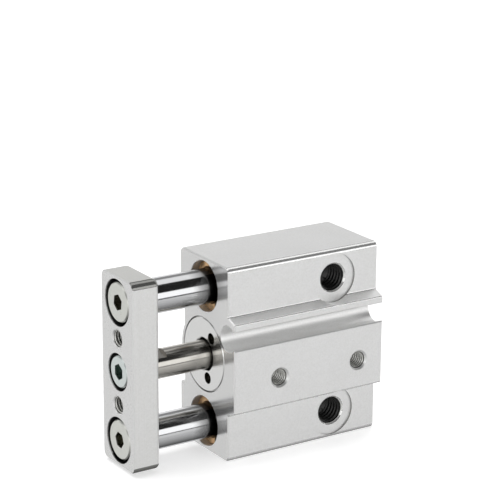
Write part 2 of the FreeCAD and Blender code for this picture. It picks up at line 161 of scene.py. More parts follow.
class CylinderFinishSettings(bpy.types.PropertyGroup):
    """Colours and roughness of the metal and rubber pieces."""

    body_colour: colour_property("Body", "Anodised aluminium of the body", (0.94, 0.94, 0.925))
    body_roughness: roughness_property("Body roughness", 0.42)
    machined_roughness: roughness_property("Machined end roughness", 0.16)
    plate_colour: colour_property("Plate", "Anodised aluminium of the end plate", (0.96, 0.96, 0.94))
    plate_roughness: roughness_property("Plate roughness", 0.33)
    plate_end_roughness: roughness_property("Plate front roughness", 0.28)
    cover_colour: colour_property("Covers", "Turned aluminium of covers and piston", (0.85, 0.85, 0.84))
    cover_roughness: roughness_property("Cover roughness", 0.2)
    chrome_colour: colour_property("Guide rods", "Hard chrome of the guide rods", (0.72, 0.725, 0.735))
    chrome_roughness: roughness_property("Guide rod roughness", 0.14)
    rod_colour: colour_property("Piston rod", "Ground stainless steel of the piston rod", (0.61, 0.59, 0.55))
    rod_roughness: roughness_property("Piston rod roughness", 0.18)
    bronze_colour: colour_property("Bushes", "Oil-filled sintered bronze", (0.74, 0.48, 0.26))
    bronze_roughness: roughness_property("Bush roughness", 0.38)
    guide_screw_colour: colour_property("Guide screws", "Nickel plate of outer screws", (0.80, 0.81, 0.76))
    rod_screw_colour: colour_property("Rod screw", "Zinc plate of the middle screw", (0.80, 0.86, 0.84))
    screw_roughness: roughness_property("Screw roughness", 0.3)
    ring_colour: colour_property("Retaining ring", "Phosphated spring steel", (0.10, 0.10, 0.105))
    ring_roughness: roughness_property("Ring roughness", 0.42)
    rubber_colour: colour_property("Seals", "Nitrile rubber of the seals", (0.018, 0.018, 0.019))
    bumper_colour: colour_property("Bumpers", "Urethane rubber of the bumpers", (0.055, 0.05, 0.045))
    rubber_roughness: roughness_property("Rubber roughness", 0.55)
    magnet_colour: colour_property("Magnet", "Bonded magnet", (0.05, 0.05, 0.052))
    magnet_roughness: roughness_property("Magnet roughness", 0.4)


def millimetres(name, description, default):
    """A small length, kept in millimetres."""
    return FloatProperty(name=name, description=description, default=default, min=0.001, soft_max=10.0,
                         precision=3)


class CylinderThreadSettings(bpy.types.PropertyGroup):
    """The threads of the air ports and of the tapped holes, in millimetres."""

    small_pitch: millimetres("M3 pitch", "Pitch of the mounting threads", 0.5)
    port_pitch: millimetres("M5 pitch", "Pitch of the air ports' threads", 0.8)
    side_depth: millimetres("Side thread depth", "Depth of the threads in the band", 3.7)
    rear_depth: millimetres("Rear thread depth", "Depth of the threads in the rear face", 4.6)
    port_depth: millimetres("Port thread depth", "Depth of the air ports' threads", 4.2)
    side_chamfer: millimetres("Side chamfer", "Chamfer of the body's tapped holes", 0.3)
    plate_chamfer: millimetres("Plate chamfer", "Chamfer of the plate's tapped holes", 0.12)
    port_chamfer: millimetres("Port chamfer", "Chamfer of the air ports", 0.1)
    skin: millimetres("Skin", "How far a thread's outer wall lies inside the metal", 0.03)
    turn_steps: IntProperty(name="Steps round", description="Faces round one thread", default=96, min=24,
                            max=360)
    pitch_steps: IntProperty(name="Steps per pitch", description="Faces along one pitch", default=16,
                             min=6, max=48)


class CylinderStudioSettings(bpy.types.PropertyGroup):
    """The camera, the lamps and the white surroundings."""

    camera_azimuth: FloatProperty(name="Azimuth", description="Camera's turn from looking along +Y",
                                  default=math.radians(147.214), subtype="ANGLE")
    camera_elevation: FloatProperty(name="Elevation", description="Camera's height above the horizon",
                                    default=math.radians(16.964), subtype="ANGLE")
    camera_roll: FloatProperty(name="Roll", description="Camera's turn about its own axis",
                               default=math.radians(0.33), subtype="ANGLE")
    camera_distance: FloatProperty(name="Distance", description="Camera to the point it looks at",
                                   default=0.341846, unit="LENGTH")
    camera_aim: FloatVectorProperty(name="Aim", description="The point that the camera looks at",
                                    default=(-0.009217, -0.000148, 0.016768), unit="LENGTH", precision=5)
    camera_lens: FloatProperty(name="Lens", description="Focal length in millimetres on a 36 mm sensor",
                               default=146.479, min=1.0)
    surround: FloatProperty(name="Surround", description="Light that matt surfaces get from all round",
                            default=0.45, min=0.0)
    top_light: FloatProperty(name="Top light", description="Radiance of the panel above", default=3.4,
                             min=0.0)
    panel_light: FloatProperty(name="Front light", description="Radiance of the panel in front",
                               default=1.8, min=0.0)
    floor_white: FloatProperty(name="Floor white", description="White that the view adds to the floor",
                               default=0.5, min=0.0)
    soft_card: FloatProperty(name="Soft card", description="Light from just above the horizon in metal",
                             default=1.35, min=0.0)
    front_card: FloatProperty(name="Front card", description="Light from high in front in metal",
                              default=0.02, min=0.0)
    back_card: FloatProperty(name="Back card", description="Light from high behind in metal", default=0.3,
                             min=0.0)
    far_card: FloatProperty(name="Far card", description="Light from low behind in metal", default=0.78,
                            min=0.0)
    table_edge: FloatProperty(name="Table edge", description="Light of the dark line at the horizon",
                              default=0.05, min=0.0)
    floor_near: FloatProperty(name="Below, level", description="Light below the horizon in metal",
                              default=0.8, min=0.0)
    floor_under: FloatProperty(name="Below, underneath", description="Light from straight below in metal",
                               default=0.12, min=0.0)


# ---------------------------------------------------------------- finishes

class Tree:
    """The nodes of a material or a world in the making."""

    def __init__(self, owner):
        owner.use_nodes = True
        self.tree = owner.node_tree
        self.tree.nodes.clear()

    def node(self, kind, **settings):
        """A new node with some of its settings changed."""
        made = self.tree.nodes.new(kind)
        for name, value in settings.items():
            setattr(made, name, value)
        return made

    def join(self, output, entry):
        """A link from one socket to another."""
        self.tree.links.new(output, entry)

    def put(self, term, entry):
        """A number or another socket for an input socket."""
        if isinstance(term, (int, float)):
            entry.default_value = term
        else:
            self.join(term, entry)

    def math(self, operation, first, second=0.0, third=0.0):
        """The result of a calculation with numbers and sockets."""
        made = self.node("ShaderNodeMath", operation=operation)
        for entry, term in zip(made.inputs, (first, second, third)):
            self.put(term, entry)
        return made.outputs[0]

    def spread(self, value, low, high, start=0.0, end=1.0):
        """A value from start to end brought to the range from low to high."""
        made = self.node("ShaderNodeMapRange")
        for name, number in (("From Min", start), ("From Max", end), ("To Min", low), ("To Max", high)):
            made.inputs[name].default_value = number
        self.join(value, made.inputs["Value"])
        return made.outputs["Result"]

    def parts(self, output):
        """The X, Y and Z of a vector socket."""
        made = self.node("ShaderNodeSeparateXYZ")
        self.join(output, made.inputs[0])
        return made.outputs


class Finish(Tree):
    """A node material in the making: one Principled shader and patterns on object coordinates."""

    def __init__(self, name, colour, roughness, metallic=1.0, **shader_values):
        self.material = bpy.data.materials.new(name)
        super().__init__(self.material)
        self.shader = self.node("ShaderNodeBsdfPrincipled")
        self.shader.inputs["Base Color"].default_value = (*colour, 1.0)
        self.shader.inputs["Roughness"].default_value = roughness
        self.shader.inputs["Metallic"].default_value = metallic
        for socket, value in shader_values.items():
            self.shader.inputs[socket.replace("_", " ")].default_value = value
        output = self.node("ShaderNodeOutputMaterial")
        self.join(self.shader.outputs["BSDF"], output.inputs["Surface"])
        self.place = self.node("ShaderNodeTexCoord")
        self.colour = colour
        self.shade = None
        self.relief = None

    def noise(self, grain, detail=2.0):
        """Cloudy noise from 0 to 1 whose grains have these lengths, in millimetres, along X, Y and Z."""
        mapping = self.node("ShaderNodeMapping")
        mapping.inputs["Scale"].default_value = [1.0 / (length * MM) for length in grain]
        self.join(self.place.outputs["Object"], mapping.inputs["Vector"])
        texture = self.node("ShaderNodeTexNoise")
        texture.inputs["Scale"].default_value = 1.0
        texture.inputs["Detail"].default_value = detail
        self.join(mapping.outputs[0], texture.inputs["Vector"])
        return texture.outputs["Fac"]

    def rings(self, spacing):
        """Tool marks from 0 to 1: circles round the X axis, this far apart in millimetres."""
        radius = self.math("SQRT", self.squares(*self.parts(self.place.outputs["Object"])[1:]))
        wave = self.math("SINE", self.math("MULTIPLY", radius, 2 * math.pi / (spacing * MM)))
        return self.math("MULTIPLY_ADD", wave, 0.5, 0.5)

    def squares(self, first, second):
        """The sum of two squares."""
        return self.math("ADD", self.math("MULTIPLY", first, first), self.math("MULTIPLY", second, second))

    def bands_along_x(self, spacing):
        """Grinding marks from 0 to 1 that lie round a rod, this far apart in millimetres, uneven."""
        return self.noise((spacing, 6.0, 6.0), detail=3.0)

    def facing(self):
        """How far the surface faces along X, Y and Z, each from 0 to 1."""
        return [self.math("ABSOLUTE", part) for part in self.parts(self.place.outputs["Normal"])]

    def faces_x(self):
        """1 on surfaces square to the X axis, 0 on all others."""
        return self.math("GREATER_THAN", self.facing()[0], 0.9)

    def long_edges(self, height):
        """1 on the roundings along X beyond this height in millimetres, 0 on flat slopes and elsewhere."""
        y, z = self.facing()[1:]
        away = self.math("ABSOLUTE", self.at("Z"))
        slanted = self.math("MULTIPLY", self.math("GREATER_THAN", y, 0.1), self.math("GREATER_THAN", z, 0.1))
        slope = self.math("MULTIPLY", self.math("COMPARE", z, SHOULDER_FACING, 0.01),
                          self.math("LESS_THAN", away, 10.0 * MM))
        high = self.math("GREATER_THAN", away, height * MM)
        return self.math("MULTIPLY", self.math("MULTIPLY", slanted, high), self.math("SUBTRACT", 1.0, slope))

    def end_chamfers(self):
        """1 on faces at a slant to the X axis, 0 on all others."""
        x = self.facing()[0]
        return self.math("MULTIPLY", self.math("GREATER_THAN", x, 0.2), self.math("LESS_THAN", x, 0.9))

    def at(self, axis):
        """The place along one axis, in metres."""
        return self.parts(self.place.outputs["Object"])[axis]

    def below(self, axis, limit):
        """1 on points of the piece that lie below a limit in millimetres along an axis, 0 on all others."""
        return self.math("LESS_THAN", self.at(axis), limit * MM)

    def between_x(self, low, high):
        """1 on points of the piece between two places in millimetres along X, 0 on all others."""
        return self.math("SUBTRACT", self.below("X", high), self.below("X", low))

    def fading_x(self, low, high):
        """1 up to one place in millimetres along X, falling evenly to 0 at another."""
        return self.spread(self.at("X"), 1.0, 0.0, low * MM, high * MM)

    def ground_round(self):
        """Stretches reflections along X, as fine marks that lie round a rod do."""
        tangent = self.node("ShaderNodeTangent", direction_type="RADIAL", axis="X")
        self.join(tangent.outputs[0], self.shader.inputs["Tangent"])

    def near_axis(self, height, radius, across="Y", centre=0.0):
        """1 within a radius of two axes, this height above and below the middle.

        The axes run along X, or along Y if the distance is also measured along X from a centre.
        """
        upward = self.math("SUBTRACT", self.math("ABSOLUTE", self.at("Z")), height * MM)
        sideways = self.math("SUBTRACT", self.at(across), centre * MM)
        return self.math("LESS_THAN", self.squares(sideways, upward), (radius * MM) ** 2)

    def blend(self, factor, first, second):
        """A number between two others."""
        made = self.node("ShaderNodeMix", data_type="FLOAT")
        for name, term in (("Factor", factor), ("A", first), ("B", second)):
            self.put(term, made.inputs[name])
        return made.outputs["Result"]

    def tint(self, value, dark, light=1.0):
        """The colour times a share that goes from dark to light with a 0 to 1 value."""
        made = self.node("ShaderNodeMix", data_type="RGBA")
        made.inputs["A"].default_value = (*[channel * dark for channel in self.colour], 1.0)
        made.inputs["B"].default_value = (*[min(1.0, channel * light) for channel in self.colour], 1.0)
        self.join(value, made.inputs["Factor"])
        self.shade = made.outputs["Result"]
        self.join(self.shade, self.shader.inputs["Base Color"])

    def darken(self, mask, share):
        """Takes the colour to a share of itself, an amount for each channel, where the mask is 1."""
        made = self.node("ShaderNodeMix", data_type="RGBA", blend_type="MULTIPLY")
        made.inputs["B"].default_value = (*share, 1.0)
        self.join(mask, made.inputs["Factor"])
        self.join(self.shade, made.inputs["A"])
        self.shade = made.outputs["Result"]
        self.join(self.shade, self.shader.inputs["Base Color"])

    def rough(self, value):
        """Roughness from a socket."""
        self.join(value, self.shader.inputs["Roughness"])

    def bump(self, height, depth):
        """Relief from a 0 to 1 height, this deep in millimetres. Each further call adds its relief."""
        made = self.node("ShaderNodeBump")
        made.inputs["Strength"].default_value = 1.0
        made.inputs["Distance"].default_value = depth * MM
        self.join(height, made.inputs["Height"])
        if self.relief:
            self.join(self.relief, made.inputs["Normal"])
        self.relief = made.outputs["Normal"]
        self.join(self.relief, self.shader.inputs["Normal"])


def anodised(name, colour, roughness, end_roughness, edge_height):
    """Drawn and anodised aluminium: a fine satin grain, smoother milled ends with painted shade, and bright
    rounded edges.
    """
    finish = Finish(name, colour, roughness, metallic=0.75)
    grain = finish.noise((0.28, 0.28, 0.28), detail=4.0)
    streaks = finish.noise((9.0, 0.14, 0.14), detail=2.0)
    clouds = finish.noise((6.0, 6.0, 6.0), detail=2.0)
    bores = finish.near_axis(GUIDE_HEIGHT, GUIDE_BORE)
    long_edges = finish.math("MULTIPLY", finish.long_edges(edge_height), finish.math("SUBTRACT", 1.0, bores))
    ends, chamfers = finish.faces_x(), finish.end_chamfers()
    edges = finish.math("MAXIMUM", long_edges, chamfers)
    satin = finish.spread(grain, roughness - 0.06, roughness + 0.06)
    milled = finish.spread(streaks, end_roughness - 0.03, end_roughness + 0.03)
    flats = finish.blend(chamfers, finish.blend(ends, satin, milled), CHAMFER_ROUGHNESS)
    finish.rough(finish.blend(long_edges, flats, EDGE_ROUGHNESS))
    mottle = finish.math("ADD", finish.math("MULTIPLY", grain, 0.8), finish.math("MULTIPLY", clouds, 0.2))
    finish.tint(mottle, 0.84, 1.1)
    # Painted shade on the milled ends.
    finish.darken(ends, END_SHARE)
    still = finish.math("SUBTRACT", 1.0, finish.math("MAXIMUM", edges, finish.math("MULTIPLY", ends, 0.8)))
    finish.bump(finish.math("MULTIPLY", grain, still), 0.008)
    finish.bump(finish.math("MULTIPLY", streaks, still), 0.002)
    return finish


def turned(name, colour, roughness):
    """Turned aluminium with faint rings round the cylinder axis."""
    finish = Finish(name, colour, roughness)
    clouds = finish.noise((1.5, 1.5, 1.5), detail=3.0)
    finish.rough(finish.spread(clouds, roughness - 0.04, roughness + 0.04))
    finish.tint(clouds, 0.93, 1.0)
    finish.bump(finish.rings(0.16), 0.0008)
    return finish


def hard_chrome(name, colour, roughness):
    """Ground and chromed steel: a near mirror with the faintest marks, and a painted dark reflection near the
    body.
    """
    finish = Finish(name, colour, roughness, Anisotropic=STRETCH, Anisotropic_Rotation=QUARTER_TURN)
    finish.ground_round()
    marks = finish.bands_along_x(0.12)
    finish.rough(finish.spread(marks, roughness - 0.015, roughness + 0.02))
    finish.tint(finish.noise((3.0, 3.0, 3.0)), 0.975, 1.0)
    # Painted dark reflection of the body's bore, fading out along the rod.
    finish.darken(finish.fading_x(*GUIDE_ROD_DARK_REFLECTION), SHADE_SHARE)
    finish.bump(marks, 0.0001)
    return finish.material


def ground_steel(name, colour, roughness):
    """Ground stainless steel, duller than chrome, with marks round the rod, and a painted dark reflection
    near the cover.
    """
    finish = Finish(name, colour, roughness, Anisotropic=STRETCH, Anisotropic_Rotation=QUARTER_TURN)
    finish.ground_round()
    marks = finish.bands_along_x(0.1)
    finish.rough(finish.spread(marks, roughness - 0.04, roughness + 0.06))
    finish.tint(finish.noise((0.5, 1.5, 1.5), detail=3.0), 0.9, 1.03)
    # Painted dark reflection of the cover's bore, fading out along the rod.
    finish.darken(finish.fading_x(*PISTON_ROD_DARK_REFLECTION), SHADE_SHARE)
    finish.bump(marks, 0.0005)
    return finish.material


def sintered_bronze(name, colour, roughness):
    """Pressed bronze powder: pores, uneven rings along the bore, and painted shade on the side towards +Y."""
    finish = Finish(name, colour, roughness)
    pores = finish.noise((0.12, 0.12, 0.12), detail=4.0)
    marks = finish.noise((0.3, 1.6, 1.6), detail=2.0)
    mottle = finish.math("MULTIPLY_ADD", marks, 0.7, finish.math("MULTIPLY", pores, 0.3))
    finish.tint(finish.spread(mottle, -1.3, 2.3), 0.4, 1.3)
    finish.darken(finish.math("GREATER_THAN", finish.at("Y"), SHADED_SIDE * MM), SHADE_SHARE)
    finish.rough(finish.spread(pores, roughness + 0.12, roughness - 0.1))
    finish.bump(pores, 0.012)
    return finish.material


def plated_screw(name, colour, roughness, socket_share):
    """Plated steel of a forged screw head with uneven plating, and patchy painted shade below its rim and in
    its socket.
    """
    finish = Finish(name, colour, roughness)
    clouds = finish.noise((0.7, 0.7, 0.7), detail=4.0)
    finish.tint(clouds, 0.86, 1.02)
    # Patchy painted shade below the rim and in the socket.
    patchy_shade = finish.spread(finish.noise((0.45, 0.45, 0.45), detail=3.0), 0.3, 1.4)
    finish.darken(finish.math("MULTIPLY", finish.below("X", SCREW_RIM), patchy_shade), socket_share)
    finish.rough(finish.spread(clouds, roughness - 0.07, roughness + 0.09))
    finish.bump(finish.noise((0.15, 0.15, 0.15), detail=2.0), 0.004)
    return finish.material


def dark_steel(name, colour, roughness):
    """Phosphated spring steel with a fine dry grain."""
    finish = Finish(name, colour, roughness, metallic=0.7)
    grain = finish.noise((0.1, 0.1, 0.1), detail=3.0)
    finish.tint(grain, 0.7, 1.4)
    finish.rough(finish.spread(grain, roughness - 0.08, roughness + 0.12))
    finish.bump(grain, 0.003)
    return finish.material


def moulded(name, colour, roughness):
    """Moulded rubber or bonded powder with a soft uneven skin."""
    finish = Finish(name, colour, roughness, metallic=0.0)
    skin = finish.noise((0.4, 0.4, 0.4), detail=3.0)
    finish.tint(skin, 0.75, 1.3)
    finish.rough(finish.spread(skin, roughness - 0.1, roughness + 0.1))
    finish.bump(skin, 0.006)
    return finish.material


def give(material, *nodes):
    """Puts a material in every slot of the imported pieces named."""
    for name in nodes:
        for slot in frame["nodes"][name].material_slots:
            slot.material = material


# ---------------------------------------------------------------- threads

def thread_radius(depth, turn, nominal, pitch):
    """The radius of an inner thread at a depth and a turn.

    The place within one pitch is depth / pitch less turn / (2 pi). Its distance from the middle of the
    pitch, doubled, runs from 0 to 1 and back. The crest is flat up to CREST_FLAT, the root is flat from
    CREST_FLAT + FLANK, and a straight flank joins the two. The crest stands THREAD_HEIGHT pitches inside
    the nominal radius.
    """
    within = np.mod(depth / pitch - turn / (2 * math.pi), 1.0)
    off_middle = np.abs(2 * within - 1)
    flank = np.clip((off_middle - CREST_FLAT) / FLANK, 0.0, 1.0)
    return nominal - THREAD_HEIGHT * pitch * (1 - flank)


def thread_shell(nominal, pitch, depth, chamfer, settings, through):
    """Rings of (depth, radius) for the closed shell of one thread, in metres, as two arrays by ring and turn.

    The inner rings take the larger of the thread's radius and of the mouth's cone, nominal + chamfer less
    the depth, so the first turns fade out of the chamfer. A through hole has that cone at its other end
    too. The outer rings lie a skin beyond the nominal radius. A blind shell ends in a drill's cone, whose
    depth is the radius divided by the tangent of the drill's angle.
    """
    turn = np.linspace(0, 2 * math.pi, settings.turn_steps, endpoint=False)[None, :]
    skin = settings.skin * MM
    start = chamfer - skin / 3
    end = depth - start if through else depth
    rows = int(round((end - start) / pitch * settings.pitch_steps)) + 1
    inner_depth = np.linspace(start, end, rows)[:, None]
    inner = np.maximum(thread_radius(inner_depth, turn, nominal, pitch), nominal + chamfer - inner_depth)
    if through:
        inner = np.maximum(inner, nominal + chamfer - (depth - inner_depth))
        depths = np.concatenate([[[end], [start]], inner_depth, [[end]]])
        outer = np.full((2, turn.size), nominal + skin)
        radii = np.concatenate([outer, inner, outer[:1]])
        return np.broadcast_to(depths, radii.shape), radii, False
    minor = nominal - THREAD_HEIGHT * pitch
    steepness = math.tan(DRILL_ANGLE)
    tip = end + minor / steepness
    outer_tip = end + skin + (nominal + skin) / steepness
    depths = np.concatenate([[[outer_tip], [end + skin], [start]], inner_depth, [[end + skin], [tip]]])
    ring = np.ones((1, turn.size))
    radii = np.concatenate([ring * 0.0, ring * (nominal + skin), ring * (nominal + skin), inner,
                            ring * minor, ring * 0.0])
    return np.broadcast_to(depths, radii.shape), radii, True


def mesh_from_rings(name, points, capped):
    """A closed mesh from rings of points, an array by ring, turn and coordinate.

    Rings are joined in order. A capped mesh has one point in place of its first and last ring. An uncapped
    one has a last ring that repeats the first and is joined to it.
    """
    rings, turns = points.shape[:2]
    along = np.arange(turns)
    beside = (along + 1) % turns
    if capped:
        vertices = np.concatenate([points[0, :1], points[1:-1].reshape(-1, 3), points[-1, :1]])
        first = 1 + np.arange(rings - 3)[:, None] * turns
        quads = np.stack([first + along, first + beside, first + turns + beside, first + turns + along], -1)
        tip = np.full(turns, len(vertices) - 1)
        last = 1 + (rings - 3) * turns
        caps = np.concatenate([np.stack([np.zeros_like(along), 1 + beside, 1 + along], -1),
                               np.stack([tip, last + along, last + beside], -1)]).tolist()
    else:
        vertices = points[:-1].reshape(-1, 3)
        count = rings - 1
        first = np.arange(count)[:, None] * turns
        second = (np.arange(count)[:, None] + 1) % count * turns
        quads = np.stack([first + along, first + beside, second + beside, second + along], -1)
        caps = []
    mesh = bpy.data.meshes.new(name)
    mesh.from_pydata(vertices.tolist(), [], quads.reshape(-1, 4).tolist() + caps)
    mesh.update()
    return mesh


def add_thread(name, body, mouth, outward, nominal, pitch, depth, chamfer, material, settings,
               through=False):
    """Adds the thread of one tapped hole. The mouth is a point, and outward the way out of the hole."""
    depths, radii, capped = thread_shell(nominal, pitch, depth, chamfer, settings, through)
    outward = np.array(outward, float)
    across = np.array([0.0, 0.0, 1.0])
    beside = np.cross(outward, across)
    turn = np.linspace(0, 2 * math.pi, settings.turn_steps, endpoint=False)[None, :, None]
    points = (np.array(mouth) - depths[..., None] * outward
              + radii[..., None] * (np.cos(turn) * across + np.sin(turn) * beside))
    mesh = mesh_from_rings(name, points, capped)
    piece = bpy.data.objects.new(name, mesh)
    bpy.context.scene.collection.objects.link(piece)
    face_outwards(mesh)
    mark_crests(mesh, np.array(mouth), outward, nominal, pitch)
    mesh.materials.append(material)
    mesh.shade_smooth()
    mesh.set_sharp_from_angle(angle=SHARP_ANGLE)
    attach(piece, body)


def mark_crests(mesh, mouth, outward, nominal, pitch):
    """Gives each point a "crest" value: how far it stands in from the nominal radius, over its height."""
    places = np.zeros(len(mesh.vertices) * 3)
    mesh.vertices.foreach_get("co", places)
    offsets = places.reshape(-1, 3) - mouth
    radial = offsets - (offsets @ outward)[:, None] * outward
    crest = np.clip((nominal - np.linalg.norm(radial, axis=1)) / (THREAD_HEIGHT * pitch), 0.0, 1.0)
    mesh.attributes.new("crest", "FLOAT", "POINT").data.foreach_set("value", crest)


def face_outwards(mesh):
    """Turns a closed mesh right side out if the volume that its faces enclose comes out negative."""
    mesh.calc_loop_triangles()
    corners = np.zeros(len(mesh.loop_triangles) * 3, np.int64)
    mesh.loop_triangles.foreach_get("vertices", corners)
    places = np.zeros(len(mesh.vertices) * 3)
    mesh.vertices.foreach_get("co", places)
    a, b, c = places.reshape(-1, 3)[corners.reshape(-1, 3)].transpose(1, 0, 2)
    if np.einsum("ij,ij->i", a, np.cross(b, c)).sum() < 0:
        mesh.flip_normals()


def thread_metal(name, axis, mouth, share):
    """Cut aluminium inside a tapped hole: bright at its mouth, with painted shade inside and deeper painted
    shade in its roots.
    """
    finish = Finish(name, (0.92, 0.92, 0.9), 0.28, metallic=0.65)
    marks = finish.noise((0.1, 0.1, 0.1), detail=2.0)
    finish.rough(finish.spread(marks, 0.22, 0.34))
    finish.tint(marks, 0.9, 1.0)
    inside = finish.below(axis, mouth)
    crest = finish.node("ShaderNodeAttribute", attribute_name="crest").outputs["Fac"]
    # Painted shade inside the hole, and more in the thread's roots.
    finish.darken(inside, share)
    finish.darken(finish.math("MULTIPLY", inside, finish.math("LESS_THAN", crest, 0.5)), ROOT_SHARE)
    finish.bump(marks, 0.002)
    return finish.material


# ---------------------------------------------------------------- studio

def add_stage(name, vertices, faces, material):
    """Adds a stage surface that isn't part of the object."""
    mesh = bpy.data.meshes.new(name)
    mesh.from_pydata(vertices, [], faces)
    mesh.materials.append(material)
    piece = bpy.data.objects.new(name, mesh)
    bpy.context.scene.collection.objects.link(piece)
    return piece


def glow(name):
    """A surface that only shows its own light, and the tree and the socket that set how strong it is."""
    material = bpy.data.materials.new(name)
    tree = Tree(material)
    light = tree.node("ShaderNodeEmission")
    tree.join(light.outputs[0], tree.node("ShaderNodeOutputMaterial").inputs["Surface"])
    return material, tree, light.inputs["Strength"]


def even_glow(name, strength):
    """The same light all over."""
    material, tree, entry = glow(name)
    tree.put(strength, entry)
    return material


def falling_glow(name, level, under):
    """Light round the X axis that falls from just below the +Y horizon to straight below."""
    material, tree, entry = glow(name)
    y, z = tree.parts(tree.node("ShaderNodeTexCoord").outputs["Object"])[1:]
    angle = tree.math("ARCTAN2", tree.math("MULTIPLY", z, -1.0), y)
    tree.put(tree.spread(angle, level, under, *FALL), entry)
    return material


def add_card(name, arc, material):
    """A card of the light tent: an arc round the X axis between two angles above the +Y horizon.

    Its points lie on the card's radius, at even steps of the angle, on two lines as far to either side.
    Only reflections show it.
    """
    angles = np.radians(np.linspace(*arc, CARD_STEPS + 1))
    circle = np.stack([np.cos(angles), np.sin(angles)], -1) * CARD_RADIUS
    sides = [np.insert(circle, 0, side * CARD_HALF_LENGTH, axis=1) for side in (-1, 1)]
    left = np.arange(CARD_STEPS)
    right = left + CARD_STEPS + 1
    faces = np.stack([left, left + 1, right + 1, right], -1)
    card = add_stage(name, np.concatenate(sides).tolist(), faces.tolist(), material)
    card.visible_camera = False
    card.visible_diffuse = False
    card.visible_shadow = False
    card.visible_transmission = False


def floor_material(white):
    """A matt white floor. The view adds white to it, so that it meets the white behind it without a line."""
    material = bpy.data.materials.new("floor")
    tree = Tree(material)
    matt = tree.node("ShaderNodeBsdfDiffuse")
    matt.inputs["Color"].default_value = (FLOOR_ALBEDO, FLOOR_ALBEDO, FLOOR_ALBEDO, 1.0)
    added = tree.node("ShaderNodeEmission")
    path = tree.node("ShaderNodeLightPath")
    tree.join(tree.math("MULTIPLY", path.outputs["Is Camera Ray"], white), added.inputs["Strength"])
    both = tree.node("ShaderNodeAddShader")
    tree.join(matt.outputs[0], both.inputs[0])
    tree.join(added.outputs[0], both.inputs[1])
    tree.join(both.outputs[0], tree.node("ShaderNodeOutputMaterial").inputs["Surface"])
    return material


def add_world(surround):
    """White all round: full white to the camera and in metal and glass, the surround to matt surfaces."""
    world = bpy.data.worlds.new("studio")
    bpy.context.scene.world = world
    tree = Tree(world)
    path = tree.node("ShaderNodeLightPath")
    seen = tree.math("MAXIMUM", path.outputs["Is Camera Ray"], path.outputs["Is Glossy Ray"])
    seen = tree.math("MAXIMUM", seen, path.outputs["Is Transmission Ray"])
    white = tree.node("ShaderNodeBackground")
    white.inputs["Color"].default_value = (1.0, 1.0, 1.0, 1.0)
    tree.join(tree.spread(seen, surround, 1.0), white.inputs["Strength"])
    tree.join(white.outputs[0], tree.node("ShaderNodeOutputWorld").inputs["Surface"])


def add_panel(name, angle, azimuth, distance, radiance):
    """A soft panel lamp that faces the object. Its power is pi times its area times its radiance."""
    lamp = bpy.data.lights.new(name, "AREA")
    lamp.shape = "RECTANGLE"
    lamp.size, lamp.size_y = PANEL_WIDTH, PANEL_HEIGHT
    lamp.energy = math.pi * PANEL_WIDTH * PANEL_HEIGHT * radiance
    piece = bpy.data.objects.new(name, lamp)
    bpy.context.scene.collection.objects.link(piece)
    rise, turn = math.radians(angle), math.radians(azimuth)
    back = Vector((math.sin(turn) * math.cos(rise), -math.cos(turn) * math.cos(rise), math.sin(rise)))
    piece.location = back * distance
    piece.rotation_mode = "QUATERNION"
    piece.rotation_quaternion = back.to_track_quat("Z", "Y")
    piece.visible_glossy = False


def add_camera(studio):
    """The camera, set by its turn, its height and the point that it looks at."""
    data = bpy.data.cameras.new("camera")
    data.lens = studio.camera_lens
    data.sensor_width = 36.0
    data.clip_start, data.clip_end = 0.01, 20.0
    camera = bpy.data.objects.new("camera", data)
    bpy.context.scene.collection.objects.link(camera)
    turn, rise, roll = studio.camera_azimuth, studio.camera_elevation, studio.camera_roll
    back = Vector((math.sin(turn) * math.cos(rise), -math.cos(turn) * math.cos(rise), math.sin(rise)))
    right = Vector((math.cos(turn), math.sin(turn), 0.0))
    up = back.cross(right)
    rolled_right = right * math.cos(roll) + up * math.sin(roll)
    rolled_up = up * math.cos(roll) - right * math.sin(roll)
    turned_axes = Matrix((rolled_right, rolled_up, back)).transposed()
    camera.matrix_world = (Matrix.Translation(Vector(studio.camera_aim) + back * studio.camera_distance)
                           @ turned_axes.to_4x4())
    bpy.context.scene.camera = camera


# ---------------------------------------------------------------- operators

class CylinderOperator(bpy.types.Operator):
    """What the operators share."""

    bl_options = {"REGISTER", "UNDO"}


